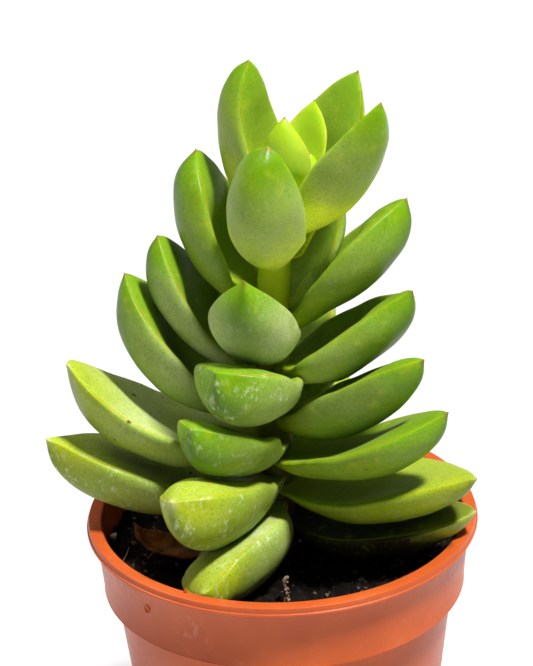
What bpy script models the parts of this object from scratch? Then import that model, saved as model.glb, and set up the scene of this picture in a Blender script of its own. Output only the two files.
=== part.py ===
"""A young rosette succulent in a small round plastic nursery pot.

Thick boat-shaped leaves sit in opposite pairs on one short stem, each pair turned
a quarter turn from the pair below. The stem stands in the potting soil.
The origin is at the middle of the pot's underside, and +Z is up.
"""

import math

import bmesh
import bpy
from mathutils import Matrix, Vector, noise

MM = 0.001
GAP = 0.3 * MM

# Pot
POT_HEIGHT = 50.0 * MM
LIP_RADIUS = 27.5 * MM
LIP_HEIGHT = 1.3 * MM
LIP_EDGE = 0.25 * MM
COLLAR_TOP_RADIUS = 26.3 * MM
COLLAR_FOOT_RADIUS = 25.4 * MM
COLLAR_HEIGHT = 10.8 * MM
COLLAR_FOOT = POT_HEIGHT - COLLAR_HEIGHT
BODY_TOP_RADIUS = 23.9 * MM
BASE_RADIUS = 19.2 * MM
BASE_CHAMFER = 0.8 * MM
WALL = 0.9 * MM
SHOULDER = COLLAR_FOOT + 2.0 * WALL
FLOOR = 1.2 * MM
POT_SIDES = 48
DRAIN_HOLES = 6
DRAIN_RADIUS = 1.9 * MM
DRAIN_RING_RADIUS = 14.0 * MM
DRAIN_SIDES = 12

# Soil: its level, its rise toward the wall, and the lumps and crumbs on it
SOIL_HEIGHT = 43.6 * MM
SOIL_BANK = 1.3 * MM
SOIL_LUMP = 0.4 * MM
LUMPS_PER_MM = 0.16
CRUMBS_PER_MM = 0.42
CRUMB_SHARE = 0.55
CRUMB_OFFSET = Vector((7.0, 3.0, 0.0))
SOIL_RINGS = 7
SHOULDER_GAP = 0.45 * MM

# Dead twig that stands in the soil in front of the plant
TWIG_POINTS = (
    Vector((-0.1, -15.7, 39.5)),
    Vector((-0.1, -15.7, 43.5)),
    Vector((0.1, -15.8, 45.6)),
    Vector((-0.1, -15.8, 47.5)),
    Vector((0.5, -15.7, 48.3)),
)
TWIG_RADII = (0.45, 0.45, 0.38, 0.42, 0.32)
TWIG_SIDES = 8
TWIG_HOLE_GAP = 0.48 * MM
TWIG_DRILL_TOP = SOIL_HEIGHT + 3.0 * MM

# Stem: upright and even, with its lean and its taper gathered near the growing tip
STEM_FOOT = 30.0 * MM
STEM_TOP = 100.5 * MM
STEM_RADIUS = 2.4 * MM
STEM_TOP_RADIUS = 1.9 * MM
STEM_TAPER_POWER = 3
STEM_CROWN_RADIUS = 1.15 * MM
STEM_CROWN_RISE = 0.95 * MM
STEM_PLACE = Vector((-0.6, 0.0, 0.0)) * MM
STEM_LEAN = Vector((3.8, -0.5, 0.0)) * MM
STEM_LEAN_POWER = 6
STEM_SIDES = 12
STEM_RINGS = 14

# Leaf: rings of points along it, gathered near both ends, and points across its two faces
LEAF_STATIONS = 12
STATION_GATHER = 0.035
BLADE_TOP = (-0.72, -0.36, 0.0, 0.36, 0.72)
BELLY_STEPS = 6

# Leaf base: breadth and depth against the fullest, and the shares in which it bends and rolls
BASE_BREADTH = 0.33
BASE_DEPTH = 0.28
BASE_BEND = 0.14
ROLL_EASE = 0.35
CLASP = 0.85
SEAT_GAP = 0.37 * MM

# Leaf outline: how sharply breadth and depth close at the tip, and the belly's keel there
BREADTH_SHARPNESS = 2.1
DEPTH_SHARPNESS = 2.0
DEPTH_BLUNTNESS = 0.72
BELLY_POWER = 1.0
TIP_KEEL = 0.7

# Raised margins: they stand highest between these shares of the length
CHANNEL_START = -0.1
CHANNEL_END = 0.8
CHANNEL_POWER = 1.5


def clear_scene():
    for obj in list(bpy.data.objects):
        bpy.data.objects.remove(obj, do_unlink=True)


def material(name, colour, roughness):
    """A Principled material with the piece's own colour and gloss."""
    made = bpy.data.materials.new(name)
    made.use_nodes = True
    shader = made.node_tree.nodes["Principled BSDF"]
    shader.inputs["Base Color"].default_value = (*colour, 1.0)
    shader.inputs["Roughness"].default_value = roughness
    return made


def mesh_object(name, bm, finish, sharp_deg=35.0):
    """Turns a bmesh into a named, smooth-shaded object with its material."""
    bmesh.ops.recalc_face_normals(bm, faces=bm.faces)
    mesh = bpy.data.meshes.new(name)
    bm.to_mesh(mesh)
    bm.free()
    mesh.shade_smooth()
    mesh.set_sharp_from_angle(angle=math.radians(sharp_deg))
    mesh.materials.append(finish)
    obj = bpy.data.objects.new(name, mesh)
    bpy.context.scene.collection.objects.link(obj)
    return obj


def bridge_rings(bm, rings, closed_start=True, closed_end=True):
    """Joins rings of points into one skin, and closes each end with one flat face."""
    loops = [[bm.verts.new(p) for p in ring] for ring in rings]
    for lower, upper in zip(loops, loops[1:]):
        count = len(lower)
        for i in range(count):
            j = (i + 1) % count
            bm.faces.new((lower[i], lower[j], upper[j], upper[i]))
    if closed_start:
        bm.faces.new(list(reversed(loops[0])))
    if closed_end:
        bm.faces.new(loops[-1])
    return loops


def cut_with(solid, name, drill):
    """Cuts a closed bmesh out of a solid, and keeps the cutter as a hidden wire object."""
    cutter = mesh_object(name.replace(" ", "_") + "_cutter", drill, solid.data.materials[0])
    cutter.hide_render = True
    cutter.display_type = "WIRE"
    cut = solid.modifiers.new(name, "BOOLEAN")
    cut.operation = "DIFFERENCE"
    cut.solver = "EXACT"
    cut.object = cutter


def circle(radius, z, sides, centre=Vector((0.0, 0.0, 0.0))):
    """Points of a level circle, at a height above its centre."""
    points = []
    for i in range(sides):
        angle = 2.0 * math.pi * i / sides
        points.append(centre + Vector((radius * math.cos(angle), radius * math.sin(angle), z)))
    return points


def inner_radius(z):
    """Inside radius of the pot, in the body and in the wider collar."""
    if z <= COLLAR_FOOT:
        return BASE_RADIUS + (BODY_TOP_RADIUS - BASE_RADIUS) * z / COLLAR_FOOT - WALL
    share = (z - COLLAR_FOOT) / COLLAR_HEIGHT
    return COLLAR_FOOT_RADIUS + (COLLAR_TOP_RADIUS - COLLAR_FOOT_RADIUS) * share - WALL


def make_pot():
    """Injection-moulded pot: tapered body, stepped collar, flanged lip and drain holes."""
    lip_foot = POT_HEIGHT - LIP_HEIGHT
    outer = [
        (BASE_RADIUS - BASE_CHAMFER, 0.0),
        (BASE_RADIUS, BASE_CHAMFER),
        (BODY_TOP_RADIUS, COLLAR_FOOT),
        (COLLAR_FOOT_RADIUS - LIP_EDGE, COLLAR_FOOT),
        (COLLAR_FOOT_RADIUS, COLLAR_FOOT + LIP_EDGE),
        (COLLAR_TOP_RADIUS, lip_foot),
        (LIP_RADIUS - LIP_EDGE, lip_foot),
        (LIP_RADIUS, lip_foot + LIP_EDGE),
        (LIP_RADIUS, POT_HEIGHT - LIP_EDGE),
        (LIP_RADIUS - LIP_EDGE, POT_HEIGHT),
    ]
    inner = [
        (COLLAR_TOP_RADIUS - WALL + LIP_EDGE, POT_HEIGHT),
        (COLLAR_TOP_RADIUS - WALL, POT_HEIGHT - LIP_EDGE),
        (inner_radius(SHOULDER), SHOULDER),
        (inner_radius(COLLAR_FOOT), COLLAR_FOOT),
        (inner_radius(FLOOR), FLOOR),
    ]
    bm = bmesh.new()
    bridge_rings(bm, [circle(r, z, POT_SIDES) for r, z in outer + inner])
    pot = mesh_object("pot", bm, material("terracotta plastic", (0.42, 0.11, 0.045), 0.45))
    for i in range(DRAIN_HOLES):
        angle = 2.0 * math.pi * i / DRAIN_HOLES
        centre = Vector((math.cos(angle), math.sin(angle), 0.0)) * DRAIN_RING_RADIUS
        drill = bmesh.new()
        ends = (-2.0 * FLOOR, 3.0 * FLOOR)
        bridge_rings(drill, [circle(DRAIN_RADIUS, z, DRAIN_SIDES, centre) for z in ends])
        cut_with(pot, f"drain hole {i + 1}", drill)


def stem_axis(z):
    """Centre of the stem at a height: upright, with a bend near the growing tip."""
    share = max(0.0, (z - SOIL_HEIGHT) / (STEM_TOP - SOIL_HEIGHT))
    offset = STEM_PLACE + STEM_LEAN * share**STEM_LEAN_POWER
    return Vector((offset.x, offset.y, z))


def stem_radius(z):
    share = min(1.0, max(0.0, (z - SOIL_HEIGHT) / (STEM_TOP - SOIL_HEIGHT)))
    return STEM_RADIUS + (STEM_TOP_RADIUS - STEM_RADIUS) * share**STEM_TAPER_POWER


def make_stem():
    """One fleshy stem, blunt at the foot and rounded over under the growing tip."""
    rings = []
    for i in range(STEM_RINGS):
        z = STEM_FOOT + (STEM_TOP - STEM_FOOT) * i / (STEM_RINGS - 1)
        rings.append(circle(stem_radius(z), 0.0, STEM_SIDES, stem_axis(z)))
    rings.append(circle(STEM_CROWN_RADIUS, STEM_CROWN_RISE, STEM_SIDES, stem_axis(STEM_TOP)))
    bm = bmesh.new()
    bridge_rings(bm, rings)
    mesh_object("stem", bm, material("young stem", (0.28, 0.36, 0.05), 0.5))


def soil_top(x, y):
    """Height of the crumbly soil surface: banked up at the wall, with layered noise."""
    place = Vector((x, y, 0.0)) / MM
    lumps = noise.noise(place * LUMPS_PER_MM)
    crumbs = noise.noise(place * CRUMBS_PER_MM + CRUMB_OFFSET)
    bank = min(1.0, math.hypot(x, y) / inner_radius(SOIL_HEIGHT)) ** 3
    return SOIL_HEIGHT + SOIL_BANK * bank + SOIL_LUMP * (lumps + CRUMB_SHARE * crumbs)


def make_soil():
    """Potting soil that fills the pot, with a plain hole that the stem stands in."""
    hole = STEM_RADIUS + GAP
    rim = inner_radius(SOIL_HEIGHT) - GAP
    rings = [circle(hole, STEM_FOOT - GAP, POT_SIDES, STEM_PLACE)]
    for i in range(SOIL_RINGS + 1):
        share = i / SOIL_RINGS
        radius = hole + (rim - hole) * share
        ring = circle(radius, 0.0, POT_SIDES, STEM_PLACE * (1.0 - share))
        rings.append([Vector((p.x, p.y, soil_top(p.x, p.y))) for p in ring])
    sides = ((SHOULDER + GAP, GAP), (COLLAR_FOOT, SHOULDER_GAP), (FLOOR + GAP, GAP))
    for z, gap in sides:
        rings.append(circle(inner_radius(z) - gap, z, POT_SIDES))
    bm = bmesh.new()
    bridge_rings(bm, rings)
    soil = mesh_object("soil", bm, material("potting soil", (0.02, 0.014, 0.01), 0.95))
    foot = TWIG_POINTS[0] * MM
    centre = Vector((foot.x, foot.y, 0.0))
    radius = TWIG_RADII[0] * MM + TWIG_HOLE_GAP
    drill = bmesh.new()
    ends = (foot.z - GAP, TWIG_DRILL_TOP)
    bridge_rings(drill, [circle(radius, z, TWIG_SIDES, centre) for z in ends])
    cut_with(soil, "twig hole", drill)


def make_twig():
    """A short dead twig: a bent, tapering stick with its foot in the soil."""
    rings = []
    for point, radius in zip(TWIG_POINTS, TWIG_RADII):
        rings.append(circle(radius * MM, 0.0, TWIG_SIDES, point * MM))
    bm = bmesh.new()
    bridge_rings(bm, rings)
    mesh_object("twig", bm, material("dead twig", (0.12, 0.07, 0.04), 0.85))


def swell(share, start, widest, sharpness, blunt):
    """Relative breadth along a leaf: narrow at the base, widest part-way, closing at the tip."""
    if share < widest:
        rise = math.sin(0.5 * math.pi * share / widest)
        return start + (1.0 - start) * rise
    reach = (share - widest) / (1.0 - widest)
    return max(0.0, 1.0 - reach**sharpness) ** blunt


def channel(share):
    """How much the margins stand up: most in the lower half, and none near the tip."""
    place = (share - CHANNEL_START) / (CHANNEL_END - CHANNEL_START)
    return math.sin(math.pi * min(1.0, place)) ** CHANNEL_POWER


def station(i):
    """Share of a leaf's length at which its i-th ring of points lies."""
    share = i / LEAF_STATIONS
    return share - STATION_GATHER * math.sin(2.0 * math.pi * share)


class Leaf:
    """One leaf's sizes and stance. Lengths are in millimetres and angles in degrees."""

    def __init__(self, name, height, azimuth, rise, tip_rise, length, width, depth,
                 roll=0.0, sweep=0.0, widest=0.56, blunt=0.8, cup=0.2):
        self.name = name
        self.height = height * MM
        self.azimuth = math.radians(azimuth)
        self.rise = math.radians(rise)
        self.tip_rise = math.radians(tip_rise)
        self.length = length * MM
        self.width = width * MM
        self.depth = depth * MM
        self.roll = math.radians(roll)
        self.sweep = math.radians(sweep)
        self.widest = widest
        self.blunt = blunt
        self.cup = cup

    def outward(self):
        """Level direction in which the leaf leaves the stem."""
        return Vector((math.cos(self.azimuth), math.sin(self.azimuth), 0.0))

    def heading(self, share):
        """Direction in which the midline runs at a share of the length."""
        rise = self.rise + (self.tip_rise - self.rise) * share
        azimuth = self.azimuth + self.sweep * share
        level = math.cos(rise)
        return Vector((level * math.cos(azimuth), level * math.sin(azimuth), math.sin(rise)))

    def frame(self, share):
        """Side and upward normal of the leaf at a share of its length."""
        bend = min(1.0, share / BASE_BEND)
        tangent = self.outward().lerp(self.heading(share), bend).normalized()
        azimuth = self.azimuth + self.sweep * share
        side = Vector((-math.sin(azimuth), math.cos(azimuth), 0.0))
        roll = self.roll * min(1.0, share / ROLL_EASE)
        side = Matrix.Rotation(roll, 3, tangent) @ side
        return side, tangent.cross(side)

    def midline(self, shares):
        """Points along the middle of the leaf's upper face."""
        root = stem_axis(self.height)
        points = [root + self.outward() * (stem_radius(self.height) + SEAT_GAP)]
        for before, after in zip(shares, shares[1:]):
            step = self.heading(0.5 * (before + after)) * (after - before) * self.length
            points.append(points[-1] + step)
        return points

    def section(self, share, centre):
        """One ring of points: the upper face from margin to margin, then the belly."""
        side, normal = self.frame(share)
        breadth = swell(share, BASE_BREADTH, self.widest, BREADTH_SHARPNESS, self.blunt)
        fullness = swell(share, BASE_DEPTH, self.widest, DEPTH_SHARPNESS, DEPTH_BLUNTNESS)
        half = 0.5 * self.width * breadth
        raised = self.cup * half * channel(share)
        power = BELLY_POWER + TIP_KEEL * share**3
        ring = [centre - side * half + normal * raised]
        for across in BLADE_TOP:
            ring.append(centre + side * (across * half) + normal * (raised * across**2))
        ring.append(centre + side * half + normal * raised)
        for i in range(1, BELLY_STEPS):
            angle = math.pi * i / BELLY_STEPS
            across = math.cos(angle)
            drop = self.depth * fullness * math.sin(angle) ** power - raised * across**2
            ring.append(centre + side * (half * across) - normal * drop)
        return ring

    def build(self, finish):
        """The closed solid: rings on the midline, a fitted base and a pointed tip."""
        shares = [station(i) for i in range(LEAF_STATIONS)]
        centres = self.midline(shares + [1.0])
        rings = [self.section(s, c) for s, c in zip(shares, centres)]
        rings[0] = [self.seat(p) for p in rings[0]]
        bm = bmesh.new()
        loops = bridge_rings(bm, rings, closed_start=False, closed_end=False)
        self.close_base(bm, loops[0])
        self.close_tip(bm, loops[-1], centres[-1])
        mesh_object(self.name, bm, finish)

    def seat(self, point):
        """Moves a base point level, along the leaf's azimuth, on to the stem's skin."""
        axis = stem_axis(point.z)
        out = self.outward()
        across = Vector((-out.y, out.x, 0.0))
        skin = stem_radius(point.z) + SEAT_GAP
        half = 0.5 * self.width * BASE_BREADTH
        sideways = (point - axis).dot(across) * min(1.0, CLASP * skin / half)
        reach = math.sqrt(skin**2 - sideways**2)
        return axis + out * reach + across * sideways

    @staticmethod
    def close_base(bm, loop):
        """Closes the base with upright strips that follow the stem's round skin."""
        across = len(BLADE_TOP) + 1
        under = [loop[0]] + loop[:across:-1] + [loop[across]]
        for i in range(across):
            corners = (loop[i], loop[i + 1], under[i + 1], under[i])
            bm.faces.new(list(dict.fromkeys(corners)))

    @staticmethod
    def close_tip(bm, loop, point):
        """Closes the tip with triangles to one point."""
        apex = bm.verts.new(point)
        for i in range(len(loop)):
            bm.faces.new((loop[i], loop[(i + 1) % len(loop)], apex))


# Leaves, lowest pair first, in millimetres and degrees. Each row: name, height on the
# stem, azimuth, rise at the base and at the tip, length, width and depth.
LEAVES = (
    Leaf("leaf_right_1", 50.2, -13, 1, 11, 25.3, 12.0, 5.6, widest=0.42, cup=0.0),
    Leaf("leaf_left_1", 47.2, 183, -6, 5, 17.8, 8.0, 1.8, roll=-33, widest=0.5, cup=0.0),
    Leaf("leaf_front_1", 51.4, 242, -2, -4, 20.3, 12.0, 7.2, roll=25),
    Leaf("leaf_back_1", 51.3, 82, 2, 6, 21.0, 13.0, 5.5),
    Leaf("leaf_right_2", 55.2, -14, 5, 8, 26.0, 14.0, 5.2),
    Leaf("leaf_left_2", 53.7, 172, 6, 16, 30.3, 14.0, 6.8),
    Leaf("leaf_front_2", 57.2, 229, 3, 30, 21.2, 12.2, 8.3, roll=8, sweep=6),
    Leaf("leaf_back_2", 57.0, 76, 12, 24, 23.0, 14.0, 5.6),
    Leaf("leaf_right_3", 59.5, -20, 18, 26, 24.4, 14.0, 6.5),
    Leaf("leaf_left_3", 60.0, 170, 9, 37, 29.2, 14.0, 7.2),
    Leaf("leaf_front_3", 62.4, 246, 22, 38, 21.3, 14.0, 6.3, roll=8, sweep=-20),
    Leaf("leaf_back_3", 62.6, 80, 18, 32, 22.0, 14.0, 5.6),
    Leaf("leaf_right_4", 65.0, -22, 26, 34, 22.6, 13.5, 6.2, roll=-14, cup=0.28),
    Leaf("leaf_left_4", 66.6, 168, 29, 61, 25.8, 13.5, 6.2),
    Leaf("leaf_front_4", 69.0, 262, 30, 48, 19.8, 14.0, 6.3, roll=12, sweep=-50),
    Leaf("leaf_back_4", 69.2, 82, 24, 42, 20.0, 13.5, 6.0),
    Leaf("leaf_right_5", 72.0, -19, 34, 44, 23.3, 13.0, 5.4, roll=8, cup=0.36),
    Leaf("leaf_left_5", 73.5, 167, 38, 68, 22.0, 13.0, 6.2),
    Leaf("leaf_front_5", 77.3, 258, 38, 70, 16.5, 12.5, 6.5, roll=4, sweep=-20),
    Leaf("leaf_back_5", 78.0, 64, 48, 74, 19.8, 12.0, 5.0),
    Leaf("leaf_right_6", 82.5, -24, 35, 54, 25.2, 12.5, 5.2, roll=14, widest=0.52, cup=0.3),
    Leaf("leaf_left_6", 83.5, 166, 58, 84, 22.2, 12.0, 6.0, widest=0.5),
    Leaf("leaf_front_6", 89.0, 262, 58, 84, 21.3, 10.8, 5.5, sweep=3, widest=0.52),
    Leaf("leaf_back_6", 89.0, 39, 56, 67, 26.1, 10.4, 3.8, widest=0.58),
    Leaf("leaf_right_7", 94.0, -26, 47, 65, 23.6, 10.4, 4.4, widest=0.5, blunt=0.9),
    Leaf("leaf_left_7", 93.0, 160, 80, 95, 24.2, 10.5, 5.2, widest=0.46, blunt=0.95),
    Leaf("leaf_front_7", 98.0, 262, 78, 88, 12.3, 8.5, 2.2, widest=0.36, blunt=1.0),
    Leaf("leaf_back_7", 98.5, 56, 60, 75, 12.2, 7.8, 2.2, widest=0.45, blunt=0.9),
)


def make_leaves():
    fresh = material("green leaf", (0.16, 0.29, 0.03), 0.4)
    withered = material("withered leaf", (0.25, 0.09, 0.02), 0.6)
    for leaf in LEAVES:
        leaf.build(withered if leaf.name == "leaf_left_1" else fresh)


clear_scene()
make_pot()
make_soil()
make_twig()
make_stem()
make_leaves()
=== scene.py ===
import math
import random

import bpy
from mathutils import Matrix, Vector, noise


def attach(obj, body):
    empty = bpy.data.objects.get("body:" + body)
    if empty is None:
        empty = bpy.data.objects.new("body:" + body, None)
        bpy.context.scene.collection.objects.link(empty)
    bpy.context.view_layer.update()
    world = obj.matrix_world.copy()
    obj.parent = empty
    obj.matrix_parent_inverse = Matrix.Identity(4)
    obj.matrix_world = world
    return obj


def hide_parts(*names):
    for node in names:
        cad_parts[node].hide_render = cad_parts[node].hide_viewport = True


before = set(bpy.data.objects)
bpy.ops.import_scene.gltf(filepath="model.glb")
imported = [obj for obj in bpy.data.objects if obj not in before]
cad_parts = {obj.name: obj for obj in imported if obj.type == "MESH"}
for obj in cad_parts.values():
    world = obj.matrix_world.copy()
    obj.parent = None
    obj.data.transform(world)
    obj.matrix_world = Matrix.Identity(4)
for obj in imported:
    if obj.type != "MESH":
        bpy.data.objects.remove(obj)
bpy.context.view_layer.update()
bpy.ops.object.select_all(action="DESELECT")


# Pot. A thin-walled nursery pot, injection-moulded in one piece from terracotta-coloured
# plastic: a tapered body, a stepped collar to grip it by, a turned-out lip and six drain
# holes. It is lathed here ring by ring, up the outside and down the inside.
MM = 0.001
pot_height = 50.0 * MM
pot_sides = 144
lip_radius = 27.5 * MM
lip_height = 1.3 * MM
collar_foot = 39.2 * MM
collar_foot_radius = 25.4 * MM
collar_top_radius = 26.3 * MM
body_top_radius = 23.9 * MM
base_radius = 19.2 * MM
base_chamfer = 0.8 * MM
wall = 0.9 * MM
floor_thickness = 1.2 * MM
drain_radius = 1.9 * MM
drain_ring_radius = 14.0 * MM
drain_holes = 6
drain_sides = 32
crease_angle = math.radians(35.0)
plastic_orange = (0.58, 0.108, 0.020)
plastic_shade = (0.50, 0.085, 0.014)
plastic_glow = (1.0, 0.3, 0.1)
scuff_pink = (0.80, 0.40, 0.28)
speck_brown = (0.05, 0.02, 0.01)
specks_per_metre = 300.0


def just_made(name):
    """The piece that was added last, under its name."""
    piece = bpy.context.active_object
    piece.name = name
    return piece


def edit_all():
    """Opens the active piece in edit mode with all of it selected."""
    bpy.ops.object.mode_set(mode="EDIT")
    bpy.ops.mesh.select_all(action="SELECT")


def start_disc(name, sides, radius, height):
    """Adds a flat disc and opens it in edit mode, ready to be drawn up into rings."""
    bpy.ops.mesh.primitive_circle_add(
        vertices=sides, radius=radius, fill_type="NGON", location=(0.0, 0.0, height)
    )
    piece = just_made(name)
    bpy.ops.object.transform_apply(location=True, rotation=True, scale=True)
    edit_all()
    return piece


def draw_on(step, ratio, centre):
    """Extrudes the selected disc by a step, then scales it about its new centre."""
    bpy.ops.mesh.extrude_region_move(TRANSFORM_OT_translate={"value": step})
    bpy.ops.transform.resize(value=(ratio, ratio, 1.0), center_override=centre)


def draw_up(shape):
    """Extrudes the selected disc through a list of (radius, height) steps."""
    for (radius, height), (next_radius, next_height) in zip(shape, shape[1:]):
        rise = next_height - height
        draw_on((0.0, 0.0, rise), next_radius / radius, (0.0, 0.0, next_height))


def face_outwards():
    """Turns every face of the piece in edit mode outwards, and leaves edit mode."""
    bpy.ops.mesh.select_all(action="SELECT")
    bpy.ops.mesh.normals_make_consistent(inside=False)
    bpy.ops.object.mode_set(mode="OBJECT")


def apply_modifier(piece, kind, **settings):
    """Adds a modifier with its settings to a piece and applies it."""
    bpy.ops.object.select_all(action="DESELECT")
    piece.select_set(True)
    bpy.context.view_layer.objects.active = piece
    modifier = piece.modifiers.new(kind.title(), kind)
    for name, value in settings.items():
        setattr(modifier, name, value)
    bpy.ops.object.modifier_apply(modifier=modifier.name)


def add_node(material, kind, inputs=None, **settings):
    """Adds a shader node, sets it up, and links or fills its inputs by name or number."""
    node = material.node_tree.nodes.new("ShaderNode" + kind)
    for name, value in settings.items():
        setattr(node, name, value)
    for name, value in (inputs or {}).items():
        if isinstance(value, bpy.types.NodeSocket):
            material.node_tree.links.new(value, node.inputs[name])
        else:
            node.inputs[name].default_value = value
    return node


def shader_of(material):
    return material.node_tree.nodes["Principled BSDF"]


def new_material(name, **surface):
    """A Principled material with some of its sockets set, for example Roughness."""
    material = bpy.data.materials.new(name)
    material.use_nodes = True
    for socket, value in surface.items():
        shader_of(material).inputs[socket.replace("_", " ")].default_value = value
    return material


def plug(material, value, socket):
    """Links a value into one of the Principled shader's sockets."""
    material.node_tree.links.new(value, shader_of(material).inputs[socket])


def object_place(material):
    return add_node(material, "TexCoord").outputs["Object"]


def noise_of(material, vector, size_mm, detail=3.0, roughness=0.5, distortion=0.0):
    """Noise from 0 to 1 whose features are about size_mm across."""
    node = add_node(
        material, "TexNoise",
        {"Vector": vector, "Scale": 1000.0 / size_mm, "Detail": detail,
         "Roughness": roughness, "Distortion": distortion},
    )
    return node.outputs["Fac"]


def ramp(material, value, low, high, start=0.0, end=1.0):
    """Smooth step: start below low, end above high."""
    node = add_node(
        material, "MapRange",
        {"Value": value, "From Min": low, "From Max": high, "To Min": start, "To Max": end},
        interpolation_type="SMOOTHSTEP",
    )
    return node.outputs["Result"]


def combine(material, operation, first, second):
    node = add_node(material, "Math", {0: first, 1: second}, operation=operation)
    return node.outputs["Value"]


def multiply(material, first, *others):
    for other in others:
        first = combine(material, "MULTIPLY", first, other)
    return first


def blend_colours(material, share, first, second, kind="MIX"):
    """Mixes two colours, each a socket or three numbers, by a share."""
    first = first if isinstance(first, bpy.types.NodeSocket) else (*first, 1.0)
    second = second if isinstance(second, bpy.types.NodeSocket) else (*second, 1.0)
    node = add_node(
        material, "Mix", {0: share, 6: first, 7: second}, data_type="RGBA", blend_type=kind
    )
    return node.outputs[2]


def bump_with(material, height, depth_mm):
    node = add_node(material, "Bump", {"Height": height, "Distance": depth_mm * MM})
    plug(material, node.outputs["Normal"], "Normal")


collar_inner = collar_foot_radius - wall
body_inner = body_top_radius - wall
lip_foot = pot_height - lip_height
outside = [
    (base_radius - base_chamfer, 0.0),
    (base_radius - 0.2 * MM, 0.25 * MM),
    (base_radius, base_chamfer),
    (body_top_radius, collar_foot - 0.1 * MM),
    (body_top_radius + 0.15 * MM, collar_foot),
    (collar_foot_radius - 0.15 * MM, collar_foot + 0.02 * MM),
    (collar_foot_radius + 0.08 * MM, collar_foot + 0.14 * MM),
    (collar_foot_radius + 0.12 * MM, collar_foot + 0.32 * MM),
    (collar_foot_radius + 0.04 * MM, collar_foot + 0.5 * MM),
    (collar_top_radius, lip_foot - 0.15 * MM),
    (collar_top_radius + 0.12 * MM, lip_foot),
    (lip_radius - 0.12 * MM, lip_foot + 0.03 * MM),
    (lip_radius, lip_foot + 0.15 * MM),
    (lip_radius - 0.03 * MM, lip_foot + 0.36 * MM),
    (lip_radius - 0.2 * MM, lip_foot + 0.46 * MM),
    (lip_radius - 0.22 * MM, pot_height - 0.34 * MM),
    (lip_radius - 0.3 * MM, pot_height - 0.12 * MM),
    (lip_radius - 0.5 * MM, pot_height),
]
inside = [
    (collar_top_radius - wall + 0.2 * MM, pot_height - 0.02 * MM),
    (collar_top_radius - wall, pot_height - 0.22 * MM),
    (collar_inner, collar_foot + 1.8 * MM),
    (body_inner, collar_foot),
    (base_radius - wall + 0.15 * MM, floor_thickness + 0.3 * MM),
    (base_radius - wall - 0.15 * MM, floor_thickness),
]
pot = start_disc("nursery_pot", pot_sides, *outside[0])
draw_up(outside + inside)
face_outwards()

for hole in range(drain_holes):
    angle = 2.0 * math.pi * hole / drain_holes
    bpy.ops.mesh.primitive_cylinder_add(
        vertices=drain_sides, radius=drain_radius, depth=4.0 * floor_thickness,
        location=(drain_ring_radius * math.cos(angle), drain_ring_radius * math.sin(angle), 0.0),
    )
    drill = bpy.context.active_object
    apply_modifier(pot, "BOOLEAN", operation="DIFFERENCE", solver="EXACT", object=drill)
    bpy.data.objects.remove(drill)
bpy.ops.object.select_all(action="DESELECT")
pot.select_set(True)
bpy.ops.object.shade_smooth_by_angle(angle=crease_angle)

plastic = new_material(
    "terracotta plastic", Specular_IOR_Level=0.3, Subsurface_Weight=0.25,
    Subsurface_Scale=0.9 * MM, Subsurface_Radius=plastic_glow,
)
place = object_place(plastic)
cloudy = ramp(plastic, noise_of(plastic, place, 9.0, detail=4.0), 0.35, 0.7)
colour = blend_colours(plastic, cloudy, plastic_shade, plastic_orange)
fine = noise_of(plastic, place, 0.35, detail=2.0)
scratched = add_node(plastic, "Mapping", {"Vector": place, "Scale": (1.0, 1.0, 0.6)})
scratches = noise_of(
    plastic, scratched.outputs["Vector"], 0.8, detail=6.0, roughness=0.7, distortion=0.4
)
scuff_zone = ramp(plastic, noise_of(plastic, place, 6.0, detail=2.0), 0.5, 0.72)
scuffs = multiply(plastic, ramp(plastic, scratches, 0.52, 0.72), scuff_zone, 0.3)
colour = blend_colours(plastic, scuffs, colour, scuff_pink)
specks = add_node(plastic, "TexVoronoi", {"Vector": place, "Scale": specks_per_metre}).outputs
speck_choice = add_node(plastic, "SeparateColor", {"Color": specks["Color"]}).outputs[0]
speck = multiply(
    plastic, ramp(plastic, specks["Distance"], 0.05, 0.09, 0.8, 0.0),
    ramp(plastic, speck_choice, 0.88, 0.9),
)
plug(plastic, blend_colours(plastic, speck, colour, speck_brown), "Base Color")
plug(plastic, ramp(plastic, scratches, 0.3, 0.8, 0.3, 0.46), "Roughness")
bump_with(plastic, combine(plastic, "ADD", multiply(plastic, fine, 0.3), scratches), 0.03)
pot.data.materials.append(plastic)
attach(pot, "root")
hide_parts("pot")


# Gate mark. The small sunk disc on the collar's outside, left of the middle, where the
# molten plastic was fed into the mould. It is one with the pot.
gate_azimuth = math.radians(-136.5)
gate_reach = 25.87 * MM
gate_height = 45.2 * MM
gate_radius = 0.45 * MM
gate_rim = 0.16 * MM
gate_depth = 0.22 * MM
gate_stretch = 1.35

bpy.ops.mesh.primitive_cylinder_add(vertices=24, radius=gate_radius, depth=0.5 * MM)
gate = just_made("gate_mark")
bpy.ops.object.mode_set(mode="EDIT")
bpy.ops.mesh.select_all(action="DESELECT")
bpy.ops.object.mode_set(mode="OBJECT")
for face in gate.data.polygons:
    face.select = face.normal.z > 0.9
bpy.ops.object.mode_set(mode="EDIT")
bpy.ops.mesh.inset(thickness=gate_rim)
bpy.ops.transform.translate(value=(0.0, 0.0, -gate_depth))
bpy.ops.mesh.select_all(action="SELECT")
bpy.ops.transform.resize(value=(1.0, gate_stretch, 1.0))
bpy.ops.object.mode_set(mode="OBJECT")
gate.location = (
    gate_reach * math.cos(gate_azimuth), gate_reach * math.sin(gate_azimuth), gate_height
)
gate.rotation_euler = (math.radians(90.0), 0.0, gate_azimuth + math.radians(90.0))
bpy.ops.object.transform_apply(location=True, rotation=True, scale=True)
gate.data.materials.append(plastic)
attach(gate, "root")


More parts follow.
